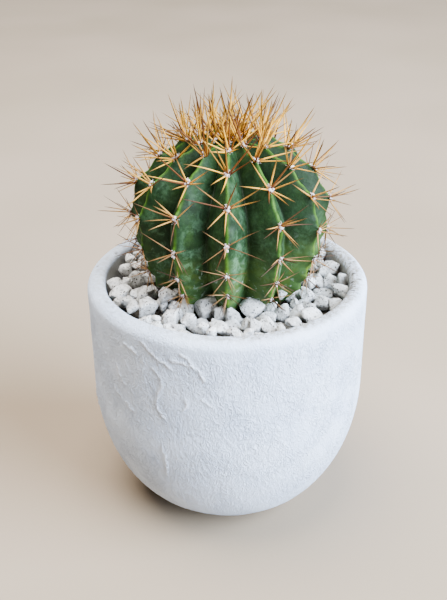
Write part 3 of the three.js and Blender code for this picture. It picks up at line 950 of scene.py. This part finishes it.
def makeRibSpines(form, facts, found):
    random = np.random.default_rng(facts["seed"])
    grown = []
    for at in found:
        reach = byAge(at, facts["lengths"])
        width = facts["thickness"] * byAge(at, facts["widths"])
        rise = lerp(*facts["lift"], at["youth"])
        sunk = at["normal"] * facts["rootDepth"]
        for angle, share, chance in zip(facts["angles"], facts["shares"], facts["chances"]):
            if random.uniform() > chance:
                continue
            theta = math.radians(angle + random.normal(0, facts["angleSpread"]))
            lift = math.radians(rise + random.normal(0, lerp(*facts["liftSpread"], at["youth"])))
            length = reach * share * random.uniform(0.78, 1.16)
            outwards = at["crownward"] * math.cos(theta) + at["side"] * math.sin(theta)
            root = at["hub"] + outwards * 1.0 - sunk
            direction = at["normal"] * math.sin(lift) + outwards * math.cos(lift)
            direction = clearDirection(form, facts, direction, root, at["radial"], length)
            bend = (-at["normal"] * random.uniform(-0.02, 0.09)
                    + np.cross(direction, at["normal"]) * random.normal(0, 0.05))
            path = spinePath(root, direction, length, bend, facts["rings"])
            grown.append((path, width * random.uniform(0.78, 1.15), at["youth"]))
        # one or two central spines, the second above the first
        for extra in range(2 if random.uniform() < 0.3 + 0.5 * at["youth"] else 1):
            direction = (at["normal"] + at["crownward"] * random.normal(0.12 + 0.3 * extra, 0.16)
                         + at["side"] * random.normal(0, 0.24))
            length = reach * random.uniform(1.0, 1.22) * (1 - 0.2 * extra)
            root = at["hub"] - sunk + at["crownward"] * 0.5 * extra
            direction = clearDirection(form, facts, unit(direction), root, at["radial"], length)
            bend = np.array([0, 0, random.uniform(-0.02, 0.05)])
            path = spinePath(root, direction, length, bend, facts["rings"])
            grown.append((path, width * 1.25, at["youth"]))
    makeSpines("rib_spines", random, facts, grown)


plantAreoles = areoles(plant)
makeRibSpines(plant, ribSpines, plantAreoles)


# wool of the areoles
wool = {
    "seed": 47,
    "hairs": 40,
    "clots": 7,
    "clotRadius": 0.47,
    "padWidth": 1.0,
    "padLength": 1.55,
    "padScales": (0.95, 1.12, 0.62),    # at the waist, by the crown and by the stones
    "hairLength": 0.8,
    "hairWidth": 0.085,
    "hairTaper": (1.25, 1.15, 1.0, 0.8, 0.35),      # from root to tip
    "rootDepth": 0.35,
}


def woolMaterial():
    material, shader, place = newMaterial("areoleWool", Roughness=0.85, Sheen_Weight=0.3)
    base = between(attribute(place, "tone"), "#b3a3a2", "#e2d9da")
    base = coat(base, "#7d5242", patches(place, 1.2, 0.5, 0.68, 3, 0.6), 0.85)
    finish(shader, base, bump(noise(place, 0.25, 2), 0.5, 0.1))
    return material


def repeated(pads, count):
    # the hub, axes and scale of the pad under each of its hairs or clots
    keys = ("hub", "normal", "crownward", "side", "scale")
    return [np.repeat(pads[key], count, axis=0) for key in keys]


def woolTufts(random, pads, facts):
    # curly hairs that start on an oval pad and spread out of it
    hub, normal, along, side, scale = repeated(pads, facts["hairs"])
    count = len(hub)
    theta = random.uniform(0, fullTurn, (count, 1))
    spread = np.sqrt(random.uniform(0, 1, (count, 1)))
    outward = side * np.sin(theta) * facts["padWidth"] + along * np.cos(theta) * facts["padLength"]
    root = hub + outward * spread * scale - normal * facts["rootDepth"]
    direction = unit(normal * random.uniform(0.35, 1.0, (count, 1)) + unit(outward) * spread * 0.9
                     + random.normal(0, 0.45, (count, 3)))
    length = (facts["hairLength"] * random.uniform(0.6, 1.25, (count, 1)) * scale)[:, None]
    curl = random.normal(0, 0.55, (count, 3))
    recurl = np.cross(curl, direction)
    t = np.linspace(0, 1, 5)[None, :, None]
    paths = (root[:, None] + direction[:, None] * length * t + curl[:, None] * length * t * t * 0.5
             + recurl[:, None] * length * np.sin(t * 4) * 0.22)
    return paths, np.tile(facts["hairWidth"] * np.array(facts["hairTaper"]), (count, 1))


def woolClots(random, pads, facts):
    # matted clots that sit among the spine roots
    sphere, faces = icoSphere(2)
    hub, normal, along, side, scale = repeated(pads, facts["clots"])
    count = len(hub)
    theta = random.uniform(0, fullTurn, (count, 1))
    reach = np.sqrt(random.uniform(0.1, 1, (count, 1))) * scale
    outward = side * np.sin(theta) * facts["padWidth"] + along * np.cos(theta) * facts["padLength"]
    lift = normal * random.uniform(0.1, 0.5, (count, 1))
    centres = (hub + outward * reach * 0.8 + lift)[:, None]
    radius = facts["clotRadius"] * random.uniform(0.65, 1.3, (count, 1, 1))
    points = centres + sphere * radius * scale[:, None]
    away = unit(points - centres).reshape(-1, 3)
    points = points.reshape(-1, 3)
    points = points + away * (0.2 * noiseAt(points, 0.8, 51) + 0.16 * noiseAt(points, 0.38, 52))[:, None]
    return points, copiesOf(faces, count, len(sphere))


def makeWool(name, random, pads, facts, material):
    tubes = sweepTubes(*woolTufts(random, pads, facts), 4)
    clots, clotFaces = woolClots(random, pads, facts)
    points = np.concatenate([tubes["points"], clots])
    faces = tubes["faces"] + [clotFaces + len(tubes["points"])]
    hairTone = random.uniform(0, 1, tubes["owner"][-1] + 1)
    tone = np.concatenate([hairTone[tubes["owner"]], np.full(len(clots), 0.7)])
    piece = makePiece(name, points, faces, material, {"tone": tone})


def makeAreoleWool(facts, found, material):
    pads = {key: np.array([at[key] for at in found]) for key in ("hub", "normal", "crownward", "side")}
    pads["scale"] = np.array([[byAge(at, facts["padScales"])] for at in found])
    makeWool("areole_wool", np.random.default_rng(facts["seed"]), pads, facts, material)


whiteWool = woolMaterial()
makeAreoleWool(wool, plantAreoles, whiteWool)


# crown
crown = {
    "seed": 77,
    "areoles": 17,
    "perAreole": 3,           # besides a central one
    "padRadius": 8,
    "padHeight": 2.6,
    "shortest": 8,
    "longest": 23,
    "outerShare": 0.6,        # length of the spines round the central one
    "lean": 0.26,
    "thickness": 0.57,
    "rings": 10,
    "sides": 8,
    "tufts": 14,
    "tuftScale": 0.7,
}


def makeCrown(form, facts, material):
    random = np.random.default_rng(facts["seed"])
    rimZ = float(crestAt(facts["padRadius"])[1])
    up = np.array([0, 0, 1.0])
    grown = []
    for k in range(facts["areoles"]):
        share = math.sqrt((k + 0.5) / facts["areoles"])
        a = k * goldenAngle + random.normal(0, 0.12)
        hub = aroundAxis(a, share * (facts["padRadius"] - 0.8),
                         rimZ + facts["padHeight"] * (1 - 0.55 * share * share) - 1.0, form["centre"])
        upward = unit(up + aroundAxis(a, 1, 0) * share * facts["lean"])
        start = random.uniform(0, fullTurn)
        for spine in range(facts["perAreole"] + 1):
            central = spine == facts["perAreole"]
            around = start + spine * fullTurn / facts["perAreole"] + random.normal(0, 0.3)
            spread = random.uniform(0, 0.4) if central else random.uniform(0.3, 1.1)
            away = aroundAxis(around, 1, 0)
            direction = unit(upward + away * spread)
            tall = random.uniform() ** 1.7      # most are short
            longest = facts["longest"] if central else facts["longest"] * facts["outerShare"]
            length = lerp(facts["shortest"] * (1.3 if central else 0.9), longest, tall)
            bend = np.array([*random.normal(0, 0.06, 2), 0])
            root = hub + away * 0.7 * (not central)
            path = spinePath(root, direction, length, bend, facts["rings"])
            width = facts["thickness"] * random.uniform(0.75, 1.1) * (1 if central else 0.8)
            grown.append((path, width, 1.0))
    piece = makeSpines("crown_spines", random, facts, grown)
    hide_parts("crown")
    # felted wool at the foot of the bunch, in two rings
    a = np.linspace(0, fullTurn, facts["tufts"], endpoint=False)
    ringShare = np.where(np.arange(facts["tufts"]) % 2 == 0, 0.95, 0.62)
    side = aroundAxis(a + math.pi / 2, 1, 0)
    normal = unit(aroundAxis(a, 1, 0) * 0.55 + up)
    pads = {
        "hub": aroundAxis(a, facts["padRadius"] * ringShare, rimZ + 0.9 + (1 - ringShare) * 2.4,
                          form["centre"]),
        "normal": normal,
        "crownward": np.cross(side, normal),
        "side": side,
        "scale": np.full((len(a), 1), facts["tuftScale"]),
    }
    makeWool("crown_wool", random, pads, wool, material)


makeCrown(plant, crown, whiteWool)


# pumice
gravel = {
    "seed": 5,
    "topStones": 84,          # besides those in view
    "lowStones": 92,
    "smallest": 2.9,
    "largest": 5.4,
    "innerRadius": 31.5,
    "outerRadius": 52.2,
    "wallRadius": 52.3,
    "underSink": 5.6,
    "packing": 0.9,
    "sunkInView": 2.6,        # loose stones in front lie lower than the measured ones
    "room": 0.85,             # share of a measured stone's size that loose ones keep clear of
    "leastFill": 1.5,
    "cuts": 12,
    "edge": 17,               # higher is sharper
    "roughness": (0.28, 0.24),          # broad and fine, in millimetres
    "pitDepth": 0.4,
}

# how the stones in view are worked out from their outlines, with lengths in millimetres
sighted = {
    "outlineShare": 0.98,     # of an outline that its stone fills
    "fullness": 1.08,         # a broken stone fills less than its box
    "flattest": 0.6,          # height as a share of width
    "tallest": 1.5,
    "tallDepth": 1.15,        # depth of the tallest stones as a share of their width
    "leastShown": 0.45,       # share of a stone's width that its side takes up at least
    "lift": 0.6,              # over the dressing's level
    "embedding": 0.85,        # how far the middle lies below that, as a share of half the height
    "besidePlant": 0.75,      # share of a stone's half sizes that the plant may not reach
    "heightAtPlant": 0.3,     # where the plant comes closest, as a share of half the height
    "frontOf": 2,             # stones with y below this lie in front of the plant
    "closeness": 0.93,        # share of their size that keeps stones apart
    "longestSlide": 9,        # along a line of sight
    "highest": 111.2,         # top of the highest stone
    "overlapWeight": 6,
    "evenWeight": 0.012,
    "slack": 3,               # millimetres into the plant or the pot that count as much as a weight of 1
    "rounds": 14,
    "firstSlide": 2.0,
    "seed": 3,
}

# stones that show from the front: left, right, top and bottom of each one's outline, in the
# photograph's pixels
stonesInView = [
    (107, 122, 277, 289), (119, 131, 264, 277), (109, 131, 284, 301), (120, 134, 296, 308),
    (127, 141, 302, 315), (132, 141, 262, 270), (130, 144, 271, 291), (123, 132, 277, 285),
    (136, 148, 292, 304), (130, 138, 291, 299), (139, 153, 286, 295), (148, 158, 287, 299),
    (142, 156, 271, 284), (139, 158, 299, 317), (157, 168, 298, 315), (159, 176, 286, 302),
    (171, 182, 288, 300), (168, 180, 300, 311), (163, 182, 310, 330), (152, 161, 315, 322),
    (177, 195, 299, 319), (181, 196, 313, 332), (125, 136, 254, 263), (133, 142, 250, 259),
    (138, 146, 256, 266), (195, 217, 296, 323), (195, 209, 322, 334), (215, 228, 304, 324),
    (209, 229, 321, 335), (226, 242, 303, 331), (240, 264, 298, 319), (241, 252, 319, 334),
    (250, 261, 318, 334), (255, 267, 315, 326), (258, 278, 317, 333), (264, 277, 302, 318),
    (274, 289, 300, 327), (285, 300, 286, 301), (278, 287, 289, 299), (289, 306, 305, 320),
    (290, 299, 298, 308), (298, 315, 289, 304), (285, 301, 316, 328), (301, 318, 273, 287),
    (313, 331, 295, 312), (303, 315, 301, 313), (301, 322, 309, 322), (313, 324, 256, 274),
    (321, 340, 259, 274), (323, 337, 270, 295), (311, 325, 273, 296), (337, 349, 271, 287),
    (331, 348, 284, 298), (329, 344, 298, 312), (314, 326, 248, 259), (308, 318, 262, 272),
    (141, 152, 316, 327), (150, 163, 321, 333), (227, 241, 328, 339), (275, 286, 324, 335),
    (317, 329, 266, 280), (243, 254, 327, 338), (206, 216, 328, 338),
]


def pumiceMaterial():
    material, shader, place = newMaterial("whitePumice", Roughness=0.95, Specular_IOR_Level=0.2)
    tone = attribute(place, "tone")
    base = between(ramp(tone, 0, 1), "#d6d5d2", "#fafafa")
    base = coat(base, "#58524b", ramp(tone, 0, -1))     # stones of the lower layer, painted dark as shade in the gaps
    base = coat(base, "#aaa8a2", patches(place, 2.8, 0.46, 0.68, 5, 0.7), 0.5)
    base = coat(base, "#716d66", patches(place, 1.1, 0.56, 0.68, 4, 0.75), 0.62)
    base = coat(base, "#3b3732", dots(place, 1.2, 0.36, 0.18), patches(place, 2.2, 0.42, 0.52, 2))
    # painted shade: the pits are darkened inside
    base = coat(base, "#3d3934", attribute(place, "pit"), 0.85)
    # painted shade: the lower half of each stone is darkened, as shade below it and between stones
    base = coat(base, "#4a443c", attribute(place, "under"), 0.45)
    rough = bump(noise(place, 1.2, 6, 0.78), 1.0, 1.2)
    finish(shader, base, bump(dots(place, 1.1, 0.02, 0.3), 0.8, 0.5, rough))
    return material


def stoneCuts(random, count):
    # cutting planes spread evenly round the stone, with some disorder
    k = np.arange(count) + 0.5
    z = 1 - 2 * k / count
    even = aroundAxis(k * goldenAngle + math.pi / 2, np.sqrt(1 - z * z), z)
    return unit(even + random.normal(0, 0.32, (count, 3)))


def turned(random, points):
    w, x, y, z = unit(random.normal(0, 1, 4))
    spin = np.array([[1 - 2 * (y * y + z * z), 2 * (x * y - z * w), 2 * (x * z + y * w)],
                     [2 * (x * y + z * w), 1 - 2 * (x * x + z * z), 2 * (y * z - x * w)],
                     [2 * (x * z - y * w), 2 * (y * z + x * w), 1 - 2 * (x * x + y * y)]])
    return points @ spin.T


def stoneShape(random, facts, sphere, sizes):
    # a broken pebble: a few flat faces with worn edges, fitted to its half sizes
    normals = stoneCuts(random, facts["cuts"])
    depths = random.uniform(0.76, 1.0, facts["cuts"])
    depths[:2] *= 0.78      # the two largest faces
    reach = np.maximum(sphere @ normals.T, 0) / depths
    edge = facts["edge"] * random.uniform(0.6, 1.5)
    distance = (reach ** edge).sum(axis=1) ** (-1 / edge)
    points = turned(random, sphere * distance[:, None])
    points = points - (points.max(axis=0) + points.min(axis=0)) / 2
    points = points / np.abs(points).max(axis=0) * sizes
    pit = np.zeros(len(sphere))
    for _ in range(random.integers(4, 10)):
        spot = unit(random.normal(0, 1, 3))
        size = random.uniform(0.07, 0.13)
        pit = np.maximum(pit, bell(np.arccos(np.clip(sphere @ spot, -1, 1)), size))
    return points, pit


def ringPlaces(random, facts, radii, fixed, fixedRadii):
    # stones scattered in the ring between plant and pot, then pushed apart until they lie side by side
    count = len(radii)
    nearest = facts["innerRadius"]
    farthest = facts["outerRadius"]
    a = random.uniform(0, fullTurn, count)
    r = np.sqrt(random.uniform(nearest ** 2, farthest ** 2, count))
    place = np.concatenate([aroundAxis(a, r, 0)[:, :2], fixed])
    sizes = np.concatenate([radii, fixedRadii])
    room = (sizes[:, None] + sizes[None]) * facts["packing"]
    for _ in range(500):
        apart = place[:, None] - place[None]
        distance = np.linalg.norm(apart, axis=2) + np.eye(len(place)) * 1e6
        push = np.clip(room - distance, 0, None) / distance
        place[:count] += (apart * push[:, :, None]).sum(axis=1)[:count] * 0.35
        r = np.linalg.norm(place[:count], axis=1)
        kept = np.clip(r, nearest + radii * 0.55, farthest - radii * 0.98)
        place[:count] *= (kept / r)[:, None]
    # those beside a fixed stone are as small as the gap they fill, and none is kept in a tight one
    apart = np.linalg.norm(place[:count, None] - fixed[None], axis=2)
    gap = apart - fixedRadii[None] * facts["room"]
    radii = np.minimum(radii, gap.min(axis=1, initial=facts["largest"]))
    kept = radii > facts["leastFill"]
    return place[:count][kept], radii[kept]


def makeStones(name, facts, random, stones, subdivisions, material, paintedShade=0.0):
    # stones as rows of centre and half sizes
    sphere, faces = icoSphere(subdivisions)
    shapes = []
    pits = []
    tones = []
    for stone in stones:
        shape, pit = stoneShape(random, facts, sphere, stone[3:])
        shapes.append(shape + stone[:3])
        pits.append(pit)
        # stones of the lower layer get a negative tone, which the material paints dark as shade in the
        # gaps
        tones.append(np.full(len(sphere), random.uniform() * (1 - paintedShade) - paintedShade))
    points = np.concatenate(shapes)
    pit = np.concatenate(pits)
    broad, fine = facts["roughness"]
    rough = noiseAt(points, 1.9, 41) * broad + noiseAt(points, 0.8, 42) * fine
    centres = np.repeat(stones[:, :3], len(sphere), axis=0)
    points = points + unit(points - centres) * (rough - pit * facts["pitDepth"])[:, None]
    # painted shade: the lower half of each stone is marked to be darkened
    halfHeights = np.repeat(stones[:, 5], len(sphere))
    under = smoothstep((points[:, 2] - centres[:, 2]) / halfHeights, 0, -0.7)
    # nothing reaches into the pot's wall
    r = np.linalg.norm(points[:, :2], axis=1)
    points[:, :2] *= np.minimum(1, facts["wallRadius"] / r)[:, None]
    values = {"tone": np.concatenate(tones), "pit": pit, "under": under}
    piece = makePiece(name, points, [copiesOf(faces, len(stones), len(sphere))], material, values)
    return piece


def plantReach(form, x, y, z):
    # how far the skin stands from the plant's axis, below its waist
    rib = (np.arctan2(x, -y) - form["ribTurn"]) / fullTurn * form["ribs"]
    c = np.abs(rib - np.round(rib)) * 2
    radius, height = crestLine[1:]
    return np.interp(z, height[::-1], radius[::-1]) - form["ribDepth"] * flankShape(form, c)


def measuredSizes(rules, at, away):
    # half width, depth and height of the stones in view, if they are this far away
    left, right, top, bottom = np.array(stonesInView, dtype=float).T
    scale = away / pixelsAway(at) * rules["outlineShare"] / 2
    wide = (right - left) * scale
    tall = (bottom - top) * scale
    seenTop = wide * math.sin(at["pitch"])      # the part of the outline that is the stone's top
    shown = np.sqrt(np.maximum(tall ** 2 - seenTop ** 2, (wide * rules["leastShown"]) ** 2))
    high = np.clip(shown / math.cos(at["pitch"]), wide * rules["flattest"], wide * rules["tallest"])
    deep = wide * np.where(high >= wide * rules["tallest"], rules["tallDepth"], 1)
    return np.stack([wide, deep, high], axis=1)


def measuredStones(facts, rules, form, at):
    # each stone in view lies on its own line of sight, level with the dressing and clear of the plant
    outlines = np.array(stonesInView, dtype=float)
    sight = sightLines(at, outlines[:, :2].mean(axis=1), outlines[:, 2:].mean(axis=1))
    eye = np.array(at["place"])
    axis = np.array([*form["centre"], 0])
    away = np.full(len(sight), np.linalg.norm(eye))
    for _ in range(40):
        places = eye + sight * away[:, None]
        sizes = measuredSizes(rules, at, away)
        level = stoneTopAt(places[:, 1]) + rules["lift"] - rules["embedding"] * sizes[:, 2]
        away = away + (places[:, 2] - level) / -sight[:, 2]
    clear = rules["besidePlant"]
    for _ in range(140):
        x, y, z = (eye + sight * away[:, None] - axis).T
        inside = np.zeros(len(sight), dtype=bool)
        for side in (-clear, 0, clear):
            besideX = x + side * sizes[:, 0]
            besideY = y + clear * math.sqrt(1 - side * side) * sizes[:, 1]
            reach = plantReach(form, besideX, besideY, z + rules["heightAtPlant"] * sizes[:, 2])
            inside |= np.hypot(besideX, besideY) < reach - 0.4
        away = away - 0.1 * (inside & (y < rules["frontOf"]))
    return settled(facts, rules, form, eye, sight, away, sizes)


def settled(facts, rules, form, eye, sight, first, firstSizes):
    # the stones slide along their lines of sight, which keeps their outlines, to lie side by side
    alone = np.eye(len(first)) * 9      # no stone overlaps itself

    def stonesAt(away):
        return eye + sight * away[:, None], firstSizes * (away / first)[:, None]

    def strain(away):
        # grows with each stone's overlap on others, on the plant and on the pot, and with its height
        places, sizes = stonesAt(away)
        apart = (places[:, None] - places[None]) / ((sizes[:, None] + sizes[None]) * rules["closeness"])
        overlap = np.maximum(1 - np.linalg.norm(apart, axis=2) - alone, 0)
        slim = sizes[:, :2].min(axis=1)
        x, y, z = (places - np.array([*form["centre"], 0])).T
        plantEdge = plantReach(form, x, y, z + rules["heightAtPlant"] * sizes[:, 2])
        inPlant = np.maximum(plantEdge - np.hypot(x, y) + 0.8 * slim, 0) * (y < rules["frontOf"])
        inWall = np.maximum(np.hypot(*places[:, :2].T) + 0.9 * slim - facts["wallRadius"], 0)
        top = z + sizes[:, 2]
        unevenness = top - stoneTopAt(places[:, 1]) - 0.8
        tooHigh = np.maximum(top - rules["highest"], 0)
        slack = rules["slack"]
        return (rules["overlapWeight"] * (overlap ** 2).sum() + ((inPlant / slack) ** 2).sum()
                + ((inWall / slack) ** 2).sum() + rules["evenWeight"] * (unevenness ** 2).sum()
                + (tooHigh ** 2).sum())

    random = np.random.default_rng(rules["seed"])
    away = first
    least = strain(away)
    step = rules["firstSlide"]
    for _ in range(rules["rounds"]):
        for stone in random.permutation(len(first)):
            for slide in (step, -step, step / 2, -step / 2):
                moved = away.copy()
                moved[stone] += slide
                if abs(moved[stone] - first[stone]) > rules["longestSlide"]:
                    continue
                strained = strain(moved)
                if strained < least:
                    least = strained
                    away = moved
        step *= 0.8
    return np.column_stack(stonesAt(away))


def looseStones(random, facts, count, sink, fixed):
    # stones of mixed size that fill the ring round the fixed ones
    radii = random.uniform(facts["smallest"], facts["largest"], count)
    places, radii = ringPlaces(random, facts, radii, fixed[:, :2], fixed[:, 3:5].mean(axis=1))
    stretch = random.uniform([0.95, 0.85, 0.72], [1.15, 1.05, 0.95], (len(radii), 3))
    sizes = radii[:, None] * stretch
    tops = stoneTopAt(places[:, 1]) - sink + random.normal(0, 0.8, len(radii))
    if len(fixed):
        tops = tops - facts["sunkInView"] * smoothstep(places[:, 1], 28, 12)
    return np.column_stack([places, tops - sizes[:, 2], sizes])


def makeGravel(facts, rules):
    random = np.random.default_rng(facts["seed"])
    material = pumiceMaterial()
    seen = measuredStones(facts, rules, plant, camera)
    loose = looseStones(random, facts, facts["topStones"], 0, seen)
    seen[:, 3:] *= rules["fullness"]
    top = makeStones("pumice_top", facts, random, np.concatenate([seen, loose]), 4, material)
    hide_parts("pumice_gravel")
    # the lower layer is painted dark as shade in the gaps between the top stones
    under = looseStones(random, facts, facts["lowStones"], facts["underSink"], np.zeros((0, 6)))
    makeStones("pumice_under", facts, random, under, 3, material, paintedShade=1.0)


makeGravel(gravel, sighted)


# soil
def soilMaterial():
    material, shader, place = newMaterial("pottingSoil", Roughness=0.97)
    crumbs = patches(place, 1.8, 0.35, 0.7, 5, 0.65)
    base = coat(between(crumbs, "#1d1611", "#4a382a"), "#8a7a66", dots(place, 3, 0.14, 0.06), 0.5)
    finish(shader, base, bump(crumbs, 0.9, 0.8))
    return material


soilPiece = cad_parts["soil"]
soilPiece.data.materials.clear()
soilPiece.data.materials.append(soilMaterial())
print("soil dressed")

bpy.context.view_layer.update()
